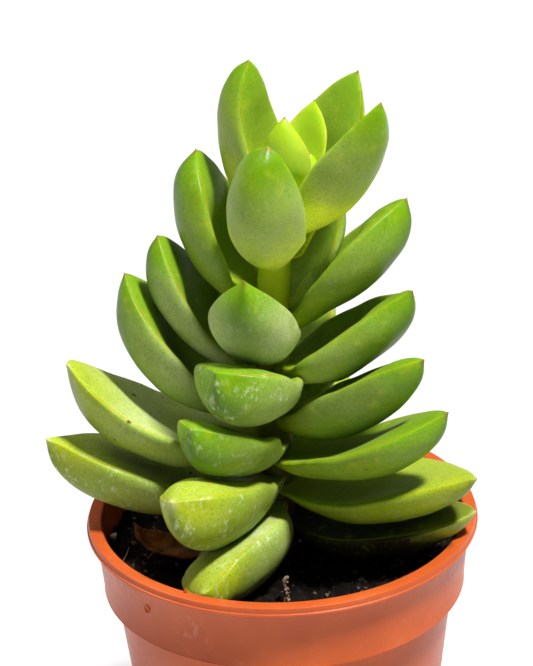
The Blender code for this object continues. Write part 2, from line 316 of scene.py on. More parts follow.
# Burr. A thin thorn of plastic that was torn up at the lip's inner edge, on the left in
# front, when the pot came out of its mould.
burr_azimuth = math.radians(-121.3)
burr_reach = 25.75 * MM
burr_height = 50.3 * MM
burr_radius = 0.36 * MM
burr_tip_radius = 0.04 * MM
burr_length = 0.8 * MM
burr_squash = 0.6

bpy.ops.mesh.primitive_cone_add(
    vertices=12, radius1=burr_radius, radius2=burr_tip_radius, depth=burr_length,
    location=(
        burr_reach * math.cos(burr_azimuth), burr_reach * math.sin(burr_azimuth), burr_height
    ),
)
burr = just_made("mould_burr")
edit_all()
bpy.ops.mesh.subdivide(number_cuts=3)
bpy.ops.transform.resize(value=(1.0, burr_squash, 1.0))
bpy.ops.object.mode_set(mode="OBJECT")
apply_modifier(burr, "SUBSURF", levels=1, render_levels=1)
bpy.ops.object.shade_smooth()
bpy.ops.object.transform_apply(location=True, rotation=True, scale=True)
burr.data.materials.append(plastic)
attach(burr, "root")


# Soil. Dark potting soil, peat and bark crumbs pressed into the pot by hand, level with
# the collar's middle; its near-black is partly its own colour and partly painted shade.
# Only its rough top shows, and its underside through the drain holes.
soil_level = 43.6 * MM
soil_gap = 0.3 * MM
soil_sides = 320
soil_rings = 76
soil_foot_radius = base_radius - wall - 0.6 * MM
soil_top_radius = collar_inner + (collar_top_radius - collar_foot_radius) * 0.41 - soil_gap
soil_middle_radius = 0.6 * MM
soil_rise = 1.3 * MM
# Both peat colours are darker than peat: partly the soil's own colour, partly painted shade.
peat_black_and_painted_shade = (0.003, 0.002, 0.0015)
peat_brown_and_painted_shade = (0.018, 0.011, 0.007)
bark_fleck = (0.10, 0.065, 0.045)
flecks_per_metre = 1600.0

soil = start_disc("potting_soil", soil_sides, soil_foot_radius, floor_thickness + soil_gap)
draw_up([
    (soil_foot_radius, floor_thickness + soil_gap),
    (body_inner - 0.45 * MM, collar_foot),
    (collar_inner - soil_gap, collar_foot + 2.1 * MM),
    (soil_top_radius, soil_level),
])
ring_width = (soil_top_radius - soil_middle_radius) / soil_rings
for ring in range(soil_rings):
    bpy.ops.mesh.inset(thickness=ring_width)
face_outwards()

surface = soil.vertex_groups.new(name="surface")
for vertex in soil.data.vertices:
    if vertex.co.z > soil_level - 0.1 * MM:
        radius = math.hypot(vertex.co.x, vertex.co.y)
        vertex.co.z += soil_rise * (radius / soil_top_radius) ** 3
        surface.add([vertex.index], 1.0, "REPLACE")


def displace(piece, kind, size_mm, strength_mm, group="", direction="NORMAL", mid=0.5, **settings):
    """Pushes a piece's surface in and out by a procedural texture of a given grain."""
    texture = bpy.data.textures.new(f"{piece.name} {kind.lower()}", kind)
    texture.noise_scale = size_mm * MM
    for name, value in settings.items():
        setattr(texture, name, value)
    apply_modifier(
        piece, "DISPLACE", texture=texture, strength=strength_mm * MM, mid_level=mid,
        vertex_group=group, direction=direction, texture_coords="LOCAL",
    )


displace(soil, "CLOUDS", 6.0, 2.2, "surface", "Z", noise_depth=2)
displace(soil, "VORONOI", 1.5, 1.1, "surface", "Z", mid=0.3)
displace(soil, "CLOUDS", 0.7, 0.9, "surface", "Z", noise_depth=3)
displace(soil, "CLOUDS", 0.5, 0.4, "surface", noise_depth=2)
bpy.ops.object.shade_smooth()

earth = new_material("potting soil", Roughness=0.95, Specular_IOR_Level=0.15)
place = object_place(earth)
crumb_tone = ramp(earth, noise_of(earth, place, 0.9, detail=5.0, roughness=0.65), 0.4, 0.8)
colour = blend_colours(earth, crumb_tone, peat_black_and_painted_shade, peat_brown_and_painted_shade)
flecks = add_node(earth, "TexVoronoi", {"Vector": place, "Scale": flecks_per_metre}).outputs
fleck_choice = add_node(earth, "SeparateColor", {"Color": flecks["Color"]}).outputs[0]
colour = blend_colours(earth, ramp(earth, fleck_choice, 0.95, 0.98), colour, bark_fleck)
plug(earth, colour, "Base Color")
bump_with(earth, noise_of(earth, place, 0.3, detail=4.0), 0.15)
soil.data.materials.append(earth)
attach(soil, "root")
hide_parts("soil")


# Stem. One fleshy green stem that stands in the soil, tapers a little and leans to the
# right at its top. It is corky and brown just above the soil, and higher up it glows
# yellow-green, partly by light passing through it and partly by a painted glow: a near-white lime.
stem_foot = 30.0 * MM
stem_top = 100.5 * MM
stem_radius = 2.4 * MM
stem_top_radius = 1.9 * MM
stem_place = Vector((-0.6, 0.0, 0.0)) * MM
stem_lean = Vector((3.8, -0.5, 0.0)) * MM
stem_sides = 32
stem_steps = 48
stem_end_steps = ((0.5, 0.9), (0.4, 0.7), (0.2, 0.4))
stem_glow = (0.8, 1.0, 0.2)
stem_cork = (0.11, 0.08, 0.03)
stem_olive = (0.20, 0.22, 0.02)
# Painted glow: a near-white lime for the light coming through the stem and leaf bases.
stem_painted_glow = (0.78, 0.90, 0.010)
cork_height = 52.0 * MM
olive_height = 70.0 * MM
painted_glow_height = 100.0 * MM
cork_unevenness = 8.0 * MM


def stem_axis(height):
    share = max(0.0, (height - soil_level) / (stem_top - soil_level))
    return stem_place + stem_lean * share**6 + Vector((0.0, 0.0, height))


def stem_girth(height):
    share = min(1.0, max(0.0, (height - soil_level) / (stem_top - soil_level)))
    return stem_radius + (stem_top_radius - stem_radius) * share**3


stem = start_disc("fleshy_stem", stem_sides, stem_radius, stem_foot)
bpy.ops.transform.translate(value=stem_place)
for step in range(stem_steps):
    low = stem_foot + (stem_top - stem_foot) * step / stem_steps
    high = stem_foot + (stem_top - stem_foot) * (step + 1) / stem_steps
    ratio = stem_girth(high) / stem_girth(low)
    draw_on(stem_axis(high) - stem_axis(low), ratio, stem_axis(high))
for rise, ratio in stem_end_steps:
    draw_on((0.0, 0.0, rise * MM), ratio, stem_axis(stem_top))
face_outwards()
apply_modifier(stem, "SUBSURF", levels=1, render_levels=1)
displace(stem, "CLOUDS", 2.5, 0.35, noise_depth=2)
bpy.ops.object.shade_smooth()

stem_skin = new_material(
    "young stem", Roughness=0.45, Specular_IOR_Level=0.2, Subsurface_Weight=0.6,
    Subsurface_Scale=2.0 * MM, Subsurface_Radius=stem_glow,
)
place = object_place(stem_skin)
height = add_node(stem_skin, "SeparateXYZ", {"Vector": place}).outputs["Z"]
patchy = multiply(stem_skin, noise_of(stem_skin, place, 3.0, detail=4.0), cork_unevenness)
height = combine(stem_skin, "ADD", height, patchy)
olive = ramp(stem_skin, height, cork_height, olive_height)
painted_glow = ramp(stem_skin, height, olive_height, painted_glow_height)
colour = blend_colours(stem_skin, olive, stem_cork, stem_olive)
plug(stem_skin, blend_colours(stem_skin, painted_glow, colour, stem_painted_glow), "Base Color")
bump_with(stem_skin, noise_of(stem_skin, place, 0.6), 0.1)
stem.data.materials.append(stem_skin)
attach(stem, "root")
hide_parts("stem")


# Leaves. Thick, boat-shaped succulent leaves in crosswise pairs, each grown out of the
# stem: a full belly below, a shallow channel above, blunt margins and a small hard point.
leaf_rows = 20
row_crowding = 0.045
root_reach = 0.3
root_size = 0.8
margin_round = 0.15
margin_full_half = 1.6
point_steps = ((0.14, 0.6), (0.26, 0.001))
point_plain_radius = 0.4
point_share = 0.2
belly_angles = (90, 70, 50, 33, 20, 11, 5)
face_places = (0.965, 0.82, 0.6, 0.32, 0.0, -0.32, -0.6, -0.82, -0.965)
shoulder_angle = 8.0
shoulder_drop_angle = 26.0
width_sharpness = 2.2
depth_sharpness = 2.3
depth_lag = 0.04
tip_fullness = 0.5
base_breadth = 0.45
base_depth = 0.42
base_bend = 0.14
roll_ease = 0.35
channel_start = 0.08
channel_reach = 0.86
channel_ease = 1.4
crown_height = 0.25
crown_start = 0.35
dome_start = 0.12
dome_steepness = 1.6
droop_start = 0.7
waves_along = 2.6
waves_across = 0.2
tip_start = 0.93
leaf_marks = ("along", "margin", "belly", "keel", "bloom", "chalk", "brown")


def swell(share, start, widest, sharpness, blunt):
    """Relative size along a leaf: start at the base, 1 at the widest place, 0 at the tip."""
    if share < widest:
        return start + (1.0 - start) * math.sin(0.5 * math.pi * share / widest)
    reach = (share - widest) / (1.0 - widest)
    return max(0.0, 1.0 - reach**sharpness) ** blunt


def belly_reach(across, angle, shoulder):
    """How far the belly stands out at an angle below the margin: it swells under the margin."""
    return across * (1.0 + shoulder * (1.0 - math.exp(-angle / shoulder_angle)))


def belly_drop(angle, fullness):
    """How deep the belly is at an angle below the margin, as a share of the whole depth."""
    easing = 1.0 - math.exp(-angle / shoulder_drop_angle)
    easing /= 1.0 - math.exp(-90.0 / shoulder_drop_angle)
    return math.sin(math.radians(angle)) ** fullness * easing


# Around a leaf: where each column of points lies between the margins, and on which face. On
# the belly the second number is minus the angle, at a margin 0, on the upper face 1. The
# loop starts and ends under the keel.
columns = (
    [(math.cos(math.radians(angle)), -angle) for angle in belly_angles]
    + [(1.0, 0)]
    + [(across, 1) for across in face_places]
    + [(-1.0, 0)]
    + [(-math.cos(math.radians(angle)), -angle) for angle in reversed(belly_angles)]
)


def towards(turn, rise=0.0):
    """The direction at an azimuth and an elevation, both in radians."""
    level = math.cos(rise)
    return Vector((level * math.cos(turn), level * math.sin(turn), math.sin(rise)))


def leaf_outward(leaf):
    """The level direction in which a leaf leaves the stem."""
    return towards(math.radians(leaf["azimuth"]))


def leaf_heading(leaf, share):
    """The direction in which a leaf grows at a share of its length."""
    rise = math.radians(leaf["rise"] + (leaf["tip_rise"] - leaf["rise"]) * share)
    return towards(math.radians(leaf["azimuth"] + leaf["sweep"] * share), rise)


def leaf_ring(leaf, share, centre, size=1.0, least=0.0):
    """A closed loop of points round a leaf, never narrower than least or the leaf's point."""
    least = (least or leaf["point"]) * MM
    bend = min(1.0, share / base_bend)
    tangent = leaf_outward(leaf).lerp(leaf_heading(leaf, share), bend).normalized()
    turn = math.radians(leaf["azimuth"] + leaf["sweep"] * share)
    roll = math.radians(leaf["roll"]) * min(1.0, share / roll_ease)
    side = Matrix.Rotation(roll, 3, tangent) @ Vector((-math.sin(turn), math.cos(turn), 0.0))
    normal = tangent.cross(side)
    breadth = swell(share, base_breadth, leaf["widest"], width_sharpness, leaf["blunt"])
    half = max(0.5 * leaf["width"] * MM * size * breadth, least)
    deepest = leaf["widest"] + depth_lag
    depth = leaf["depth"] * MM * size
    depth *= swell(share, base_depth, deepest, depth_sharpness, leaf["nose"])
    depth = max(depth, least)
    channel = math.sin(math.pi * min(1.0, (share + channel_start) / channel_reach))
    channel = channel**channel_ease
    edge = margin_round * MM * min(1.0, half / (margin_full_half * MM))
    sunk = min(1.0, max(0.0, (share - droop_start) / (1.0 - droop_start))) ** 2
    centre = centre - normal * leaf["droop"] * MM * sunk
    crown = crown_height * half * max(0.0, share - crown_start)
    dome = leaf["dome"] * half * min(1.0, dome_steepness * max(0.0, share - dome_start))
    ring = []
    for across, face in columns:
        if face < 0:
            across = belly_reach(across, -face, leaf["shoulder"])
        inner = 1.0 - min(1.0, across * across)
        turns = waves_along * share + waves_across * across
        wave = math.sin(2.0 * math.pi * turns + leaf["height"])
        lift = leaf["cup"] * half * channel * (1.0 - inner)
        lift += leaf["wave"] * MM * across * across * channel * wave
        if face > 0:
            lift += edge * (1.0 - across**8) ** 0.5
            lift -= leaf["dent"] * half * channel * (1.0 - across**4)
            lift += (crown + dome) * inner
        elif face < 0:
            lift -= depth * belly_drop(-face, leaf["belly"] + tip_fullness * share**4)
        ring.append(centre + side * (half * across) + normal * lift)
    return ring


def leaf_blade(leaf):
    """A leaf rolled up from a flat sheet, closed at the base and drawn to a point at the tip."""
    shares = [i / leaf_rows for i in range(leaf_rows + 1)]
    shares = [s - row_crowding * math.sin(2.0 * math.pi * s) for s in shares]
    axis = stem_axis(leaf["height"] * MM)
    root = axis + leaf_outward(leaf) * root_reach * MM
    centre = axis + leaf_outward(leaf) * stem_girth(axis.z)
    rings = [leaf_ring(leaf, 0.0, root, root_size), leaf_ring(leaf, 0.0, centre)]
    for before, after in zip(shares, shares[1:]):
        heading = leaf_heading(leaf, 0.5 * (before + after))
        centre = centre + heading * (after - before) * leaf["length"] * MM
        rings.append(leaf_ring(leaf, after, centre))
    stretch = max(1.0, leaf["point"] / point_plain_radius)
    for reach, radius in point_steps:
        point = centre + leaf_heading(leaf, 1.0) * reach * stretch * MM
        rings.append(leaf_ring(leaf, 1.0, point, least=radius * leaf["point"]))
    shares = [0.0] + shares + [1.0 + point_share * reach for reach, radius in point_steps]

    bpy.ops.mesh.primitive_grid_add(
        x_subdivisions=len(columns) - 1, y_subdivisions=len(rings) - 1, size=2.0
    )
    blade = just_made(leaf["name"].replace("leaf", "blade"))
    marks = {mark: [] for mark in leaf_marks}
    for vertex in blade.data.vertices:
        column = round((vertex.co.x + 1.0) * 0.5 * (len(columns) - 1))
        row = round((vertex.co.y + 1.0) * 0.5 * (len(rings) - 1))
        face = columns[column][1]
        lined = leaf["brown"] if shares[row] > tip_start else 1.0
        marks["along"].append(shares[row])
        marks["margin"].append(lined if face == 0 else 0.0)
        marks["belly"].append(0.0 if face > 0 else 1.0 if face < 0 else 0.5)
        marks["keel"].append(max(0.0, -face / 90.0))
        marks["bloom"].append(leaf["bloom"] if face < 0 else leaf["face_bloom"])
        marks["chalk"].append(leaf["chalk"])
        marks["brown"].append(leaf["brown"])
        vertex.co = rings[row][column]
    for mark, values in marks.items():
        blade.data.attributes.new(mark, "FLOAT", "POINT").data.foreach_set("value", values)
    edit_all()
    bpy.ops.mesh.remove_doubles(threshold=0.01 * MM)
    bpy.ops.mesh.fill_holes(sides=0)
    face_outwards()
    apply_modifier(blade, "SUBSURF", levels=2, render_levels=2)
    displace(blade, "CLOUDS", 6.0, 0.4, noise_depth=1)
    bpy.ops.object.shade_smooth()
    return blade


def leaf(name, height, azimuth, rise, tip_rise, length, width, depth, **more):
    """A leaf's place on the stem, stance in degrees, sizes in millimetres, and its shape.

    The lower blunt, nose and belly are, the rounder it is from above, from the side and
    across. cup and dome raise its margins and middle, dent hollows it, droop lowers its tip.
    """
    sizes = {
        "roll": 0.0, "sweep": 0.0, "widest": 0.56, "blunt": 0.8, "nose": 0.62, "belly": 0.87,
        "cup": 0.0, "dome": 0.0, "dent": 0.16, "droop": 0.0, "wave": 0.12, "shoulder": 0.2,
        "point": 0.13, "brown": 1.0, "bloom": 0.3, "face_bloom": 0.08, "chalk": 0.12,
        "name": "leaf_" + name, "height": height, "azimuth": azimuth, "rise": rise,
        "tip_rise": tip_rise, "length": length, "width": width, "depth": depth,
    }
    sizes.update(more)
    return sizes


# The leaves, lowest first: pairs from right and left, then from front and back.
leaves = (
    leaf("right_1", 49.7, -16.5, 1.3, 16.7, 26.7, 13, 5.6,
         sweep=-7, widest=0.33, blunt=0.64, nose=0.7, belly=0.83,
         point=0.2, chalk=0.1, bloom=0.0),
    leaf("front_1", 52.7, 235.5, -20.5, 13, 21.3, 12.8, 7.2,
         roll=32, sweep=12, widest=0.3, blunt=0.5, nose=0.4, belly=0.74,
         droop=2.4, point=0.9, bloom=0.5, chalk=0.9, wave=0.3, dome=0.2, dent=0,
         face_bloom=0.95, brown=0.1),
    leaf("back_1", 51.3, 82, 2, 6, 21, 13, 5.5, cup=0.15),
    leaf("right_2", 55.2, -16.6, 6, 20.6, 29.6, 16.2, 6,
         roll=-3, sweep=-28, widest=0.37, blunt=1.1, nose=0.85, belly=1.1,
         point=0.35, bloom=0.05, chalk=0.25),
    leaf("left_2", 53, 174.8, 19.7, 22.1, 31.5, 12.4, 8,
         sweep=24, widest=0.52, blunt=1.09, nose=0.64, belly=0.93,
         point=0.5, bloom=0.35, chalk=0.8, wave=0.3, face_bloom=0.5),
    leaf("front_2", 56.5, 235.5, 12.4, 24, 23.1, 11.2, 8.2,
         roll=14, sweep=-2, widest=0.59, blunt=0.72, nose=0.5, belly=0.88, cup=0.08,
         droop=1.0, point=0.5, bloom=0.2, chalk=0.75, wave=0.25, dome=0.3, dent=0),
    leaf("back_2", 57, 76, 12, 24, 23, 14, 5.6, cup=0.15),
    leaf("right_3", 60.2, -40.2, 20.9, 29.8, 28.2, 15, 5.7,
         roll=-4, sweep=13, widest=0.52, blunt=0.94, nose=0.69, belly=1,
         bloom=0.05, chalk=0.1),
    leaf("left_3", 61.8, 177.8, 9.2, 44.8, 29.4, 14.8, 6.9,
         roll=1, sweep=14, widest=0.45, blunt=0.5, nose=0.9, belly=1.04,
         point=0.45, bloom=0.35, chalk=0.2, wave=0.2, face_bloom=0.9),
    leaf("front_3", 61.8, 242.6, 35.3, 26.9, 20.4, 12.2, 6.7,
         roll=3, sweep=-15, widest=0.6, blunt=0.97, nose=0.6, belly=1.01,
         droop=0.6, bloom=0.2, chalk=0.5, wave=0.7, brown=0.2),
    leaf("back_3", 62.6, 80, 18, 32, 22, 14, 5.6, cup=0.15),
    leaf("right_4", 65.9, -33.8, 39.4, 24.6, 27.1, 9.4, 7.2,
         roll=-2, sweep=-9, widest=0.3, blunt=0.82, nose=0.66, belly=0.76, cup=0.01,
         bloom=0.25, dent=0.25),
    leaf("left_4", 67.1, 171.7, 40.8, 53.1, 25.8, 12.7, 8.2,
         sweep=-1, widest=0.42, blunt=0.71, nose=0.74, belly=0.87,
         bloom=0.75, dent=0.5),
    leaf("front_4", 70, 260.4, 42.8, 24.7, 20, 12.7, 7.6,
         roll=4, sweep=-31, widest=0.62, blunt=1.04, nose=0.61, belly=0.67,
         droop=0.8, bloom=0.45, chalk=0.9, wave=0.7, brown=0.15),
    leaf("back_4", 69.2, 82, 24, 42, 20, 13.5, 6, cup=0.15),
    leaf("right_5", 73.8, -14.3, 36.6, 35, 23.2, 16.7, 6.3,
         sweep=-27, widest=0.3, blunt=1.04, nose=0.55, belly=0.68, cup=0.05,
         bloom=0.25, dent=0.3),
    leaf("left_5", 72.5, 170.1, 56.6, 57.7, 23.4, 11.1, 6.5,
         roll=-11, sweep=13, widest=0.48, blunt=0.79, nose=0.6, belly=0.74, cup=0.03,
         bloom=0.9, dent=0.6),
    leaf("front_5", 77.6, 256, 36.4, 56.3, 21.5, 10.9, 6.1,
         roll=-1, sweep=5, widest=0.46, blunt=0.99, nose=0.62, belly=0.6, cup=0.02,
         bloom=1.0, chalk=0.2, wave=0.25),
    leaf("back_5", 78.3, 62.5, 47.4, 71.4, 22, 11.8, 5,
         roll=-6, sweep=-3, widest=0.6, blunt=0.81, nose=0.62, belly=0.85, cup=0.23),
    leaf("right_6", 80.9, -1.5, 58.8, 32.9, 23.6, 13.3, 6.9,
         roll=-9, sweep=-9, widest=0.46, blunt=0.91, nose=0.5, belly=0.92,
         bloom=0.15, dent=0.45),
    leaf("left_6", 83.3, 151.6, 71.5, 62.9, 21.7, 14.8, 7.4,
         roll=11, sweep=10, widest=0.4, blunt=0.66, nose=0.52, belly=0.79,
         bloom=0.1, dent=0.5),
    leaf("front_6", 91.5, 261.7, 44.8, 74.2, 22.1, 10.7, 7.2,
         roll=-30, sweep=12, widest=0.43, blunt=0.61, nose=0.63, belly=0.86, cup=0.04,
         bloom=0.5, shoulder=0.08),
    leaf("back_6", 89.3, 37.2, 68.2, 57, 25.9, 11.5, 2.3,
         roll=5, sweep=-10, widest=0.58, blunt=0.83, nose=0.66, belly=0.89, cup=0.2,
         bloom=0.1),
    leaf("right_7", 94.6, -27.2, 52, 57.4, 24, 10.3, 5.1,
         roll=-12, sweep=-15, widest=0.35, blunt=0.87, nose=0.55, belly=0.93, cup=0.11),
    leaf("left_7", 93.9, 154.3, 86.1, 84.2, 22.9, 8.3, 6.2,
         roll=-1, sweep=-9, widest=0.45, blunt=0.76, nose=0.64, belly=0.82, cup=0.33),
    leaf("front_7", 99, 257.8, 82.5, 93.6, 11, 6.8, 2,
         roll=-8, sweep=-7, widest=0.45, blunt=0.94, nose=0.62, belly=0.85, cup=0.1,
         shoulder=0.06),
    leaf("back_7", 98.4, 56.7, 66.2, 69, 12, 7.5, 2,
         roll=-1, sweep=-8, widest=0.4, blunt=0.88, nose=0.57, belly=0.89, cup=0.27,
         shoulder=0.06),
)

leaf_glow = (0.75, 1.0, 0.12)
bloom_grey = (0.50, 0.58, 0.23)
chalk_white = (0.62, 0.68, 0.42)
patch_yellow = (0.55, 0.58, 0.01)
patch_green = (0.09, 0.2, 0.002)
# Painted shade colour, multiplied into the belly towards the keel.
painted_shade_green = (0.3, 0.38, 0.25)
dot_green = (0.06, 0.11, 0.01)
grain_green = (0.10, 0.16, 0.012)
margin_yellow = (0.48, 0.58, 0.02)
scar_brown = (0.10, 0.045, 0.020)
dot_spacing = 0.62 * MM
scars = (
    (-19.9, 2.1, 67.8, 0.50), (-20.3, -7.9, 68.8, 0.45), (-22.5, -6.0, 65.1, 0.30),
    (-18.8, 0.5, 67.2, 0.20), (-17.7, -1.8, 66.6, 0.20), (-16.4, 1.6, 65.3, 0.25),
    (11.4, -17.2, 65.0, 0.25), (-1.5, -13.0, 52.5, 0.40), (-12.6, 1.2, 55.8, 0.40),
    (4.0, -13.4, 102.7, 0.20),
)


def scarred(material, place, colour):
    """Lays the small ragged scars over a colour: x, y, z and radius of each in millimetres."""
    ragged = ramp(material, noise_of(material, place, 0.5), 0.2, 0.8, 0.6, 1.5)
    for x, y, z, radius in scars:
        centre = (x * MM, y * MM, z * MM)
        away = add_node(material, "VectorMath", {0: place, 1: centre}, operation="DISTANCE")
        away = multiply(material, away.outputs["Value"], ragged)
        mark = ramp(material, away, 0.5 * radius * MM, radius * MM, 0.9, 0.0)
        colour = blend_colours(material, mark, colour, scar_brown)
    return colour


def leaf_skin(name, base, body, tip, face, line, cap, glow, glow_depth, base_reach, keel_painted_shade,
              freckles=0.4):
    """Waxy leaf skin. face, line and cap are colours with a share: the upper face's, the
    margin's and the tip's. glow is how much light passes through, to glow_depth millimetres.
    """
    skin = new_material(
        name, Specular_IOR_Level=0.2, Subsurface_Weight=glow,
        Subsurface_Scale=glow_depth * MM, Subsurface_Radius=leaf_glow,
    )
    place = object_place(skin)
    along, margin, belly, keel, bloom, chalk, brown = (
        add_node(skin, "Attribute", attribute_name=mark).outputs["Fac"] for mark in leaf_marks
    )

    # The colour from base to tip, with uneven bounds, the upper face and two-tone patches.
    # In the young and upper skins the near-white base is partly a painted glow.
    cloudy = noise_of(skin, place, 5.0, detail=4.0)
    shift = multiply(skin, combine(skin, "SUBTRACT", cloudy, 0.5), 0.4)
    shifted = combine(skin, "ADD", along, shift)
    colour = blend_colours(skin, ramp(skin, shifted, *base_reach), base, body)
    colour = blend_colours(skin, ramp(skin, shifted, 0.6, 1.0), colour, tip)
    colour = blend_colours(skin, ramp(skin, belly, 0.4, 0.0, 0.0, face[3]), colour, face[:3])
    patchy = noise_of(skin, place, 2.4, detail=4.0, roughness=0.6)
    colour = blend_colours(skin, ramp(skin, patchy, 0.55, 0.75, 0.0, 0.35), colour, patch_yellow)
    colour = blend_colours(skin, ramp(skin, patchy, 0.45, 0.25, 0.0, 0.35), colour, patch_green)

    # The dull bloom over the leaf's middle, and painted shade darkening the belly towards the
    # keel.
    dull = multiply(
        skin, ramp(skin, along, 0.97, 0.55), ramp(skin, along, 0.02, 0.22),
        ramp(skin, keel, 0.35, 1.0, 1.0, 0.65), bloom, ramp(skin, cloudy, 0.3, 0.65, 0.45, 1.0),
    )
    colour = blend_colours(skin, dull, colour, bloom_grey)
    painted_shade_share = ramp(skin, keel, 0.3, 1.0, 0.0, keel_painted_shade)
    colour = blend_colours(skin, painted_shade_share, colour, painted_shade_green, "MULTIPLY")

    # Dark dots and grain.
    dots = add_node(skin, "TexVoronoi", {"Vector": place, "Scale": 1.0 / dot_spacing}).outputs
    dot = multiply(
        skin, ramp(skin, dots["Distance"], 0.12, 0.3, freckles, 0.0), ramp(skin, cloudy, 0.3, 0.6)
    )
    colour = blend_colours(skin, dot, colour, dot_green)
    grain = noise_of(skin, place, 0.3, detail=3.0)
    grainy = ramp(skin, grain, 0.4, 0.7, 0.0, 0.7 * freckles)
    colour = blend_colours(skin, grainy, colour, grain_green)

    # Chalky flakes, left by hard water, most of them on the belly.
    streaked = add_node(
        skin, "Mapping", {"Vector": place, "Rotation": (0.3, 0.5, 0.2), "Scale": (1.0, 1.0, 0.6)}
    ).outputs["Vector"]
    flakes = noise_of(skin, streaked, 0.8, detail=7.0, roughness=0.78, distortion=0.25)
    flakes = multiply(
        skin, ramp(skin, flakes, 0.5, 0.66),
        ramp(skin, noise_of(skin, place, 3.6, detail=2.0), 0.4, 0.62),
        chalk, ramp(skin, belly, 0.0, 0.5, 0.5, 1.0),
    )
    colour = blend_colours(skin, flakes, colour, chalk_white)

    # The pale margin with its thin broken line, the hard tip and the scars.
    pale = multiply(skin, ramp(skin, margin, 0.1, 0.8, 0.0, 0.35), ramp(skin, along, 0.0, 0.3))
    colour = blend_colours(skin, pale, colour, margin_yellow)
    broken = multiply(
        skin, ramp(skin, noise_of(skin, place, 2.2, detail=3.0), 0.35, 0.6, 0.25, 1.0),
        ramp(skin, along, 0.2, 0.95, 0.3, 1.0), ramp(skin, margin, 0.62, 0.92, 0.0, line[3]),
    )
    colour = blend_colours(skin, broken, colour, line[:3])
    capped = multiply(skin, ramp(skin, along, 0.97, 1.02, 0.0, cap[3]), brown)
    colour = blend_colours(skin, capped, colour, cap[:3])
    plug(skin, scarred(skin, place, colour), "Base Color")

    # Wax: smooth below, duller on the upper face and under the bloom, finely wrinkled.
    rough = combine(
        skin, "ADD", ramp(skin, grain, 0.2, 0.8, 0.28, 0.42), ramp(skin, belly, 0.0, 0.6, 0.3, 0.0)
    )
    plug(skin, combine(skin, "ADD", rough, multiply(skin, dull, 0.4)), "Roughness")
    wrinkles = noise_of(skin, streaked, 1.4, detail=3.0)
    bump_with(skin, combine(skin, "ADD", multiply(skin, grain, 0.25), wrinkles), 0.09)
    return skin


# The near-white bases of the young and upper skins are partly the pale young tissue and partly a
# painted glow of light through the leaf bases.
young_skin = leaf_skin(
    "young leaf", base=(0.82, 0.94, 0.010), body=(0.53, 0.72, 0.012), tip=(0.40, 0.62, 0.014),
    face=(0.42, 0.62, 0.006, 0.5), line=(0.50, 0.22, 0.02, 0.5), cap=(0.30, 0.12, 0.02, 0.6),
    glow=0.9, glow_depth=3.0, base_reach=(0.0, 0.5), keel_painted_shade=0.0, freckles=0.06,
)
upper_skin = leaf_skin(
    "upper leaf", base=(0.84, 0.94, 0.010), body=(0.25, 0.37, 0.004), tip=(0.17, 0.34, 0.002),
    face=(0.22, 0.38, 0.004, 0.5), line=(0.30, 0.070, 0.012, 1.0), cap=(0.24, 0.07, 0.02, 0.7),
    glow=0.7, glow_depth=3.0, base_reach=(0.12, 0.6), keel_painted_shade=0.15, freckles=0.3,
)
grown_skin = leaf_skin(
    "grown leaf", base=(0.36, 0.46, 0.006), body=(0.19, 0.31, 0.004), tip=(0.18, 0.37, 0.002),
    face=(0.18, 0.32, 0.004, 0.5), line=(0.36, 0.095, 0.012, 1.0), cap=(0.24, 0.07, 0.02, 0.7),
    glow=0.3, glow_depth=1.6, base_reach=(0.0, 0.32), keel_painted_shade=0.7,
)
old_skin = leaf_skin(
    "old leaf", base=(0.26, 0.35, 0.005), body=(0.27, 0.39, 0.005), tip=(0.40, 0.47, 0.008),
    face=(0.38, 0.48, 0.030, 0.75), line=(0.62, 0.34, 0.020, 0.7), cap=(0.55, 0.55, 0.22, 0.7),
    glow=0.35, glow_depth=1.6, base_reach=(0.0, 0.42), keel_painted_shade=0.8,
)
# right_1 is painted near black for the shade of the leaves over it; only its tip, out in the
# light, keeps a leaf's colour.
shade_painted_skin = leaf_skin(
    "soiled leaf", base=(0.02, 0.02, 0.008), body=(0.03, 0.03, 0.010), tip=(0.34, 0.42, 0.020),
    face=(0.04, 0.05, 0.010, 0.5), line=(0.10, 0.08, 0.020, 0.5), cap=(0.50, 0.52, 0.20, 0.7),
    glow=0.1, glow_depth=1.0, base_reach=(0.0, 0.42), keel_painted_shade=0.6,
)


def skin_for(name):
    if name in ("leaf_front_7", "leaf_back_7"):
        return young_skin
    if name[-1] == "7" or name in ("leaf_front_6", "leaf_back_6"):
        return upper_skin
    if name == "leaf_right_1":
        return shade_painted_skin
    if name[-1] in "12" or name == "leaf_left_3":
        return old_skin
    return grown_skin


for sizes in leaves:
    blade = leaf_blade(sizes)
    blade.data.materials.append(skin_for(sizes["name"]))
    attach(blade, "root")
    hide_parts(sizes["name"])


# Growing bud. The next pair of leaves, only a few millimetres long and still pressed
# together, between the two youngest leaves.
for name, azimuth in (("bud_right", -20.0), ("bud_left", 160.0)):
    sizes = leaf(
        name, height=98.9, azimuth=azimuth, rise=74, tip_rise=84, length=5.6, width=3.6,
        depth=1.3, widest=0.4, blunt=0.9, cup=0.3,
    )
    bud = leaf_blade(sizes)
    bud.name = name
    bud.data.materials.append(young_skin)
    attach(bud, "root")


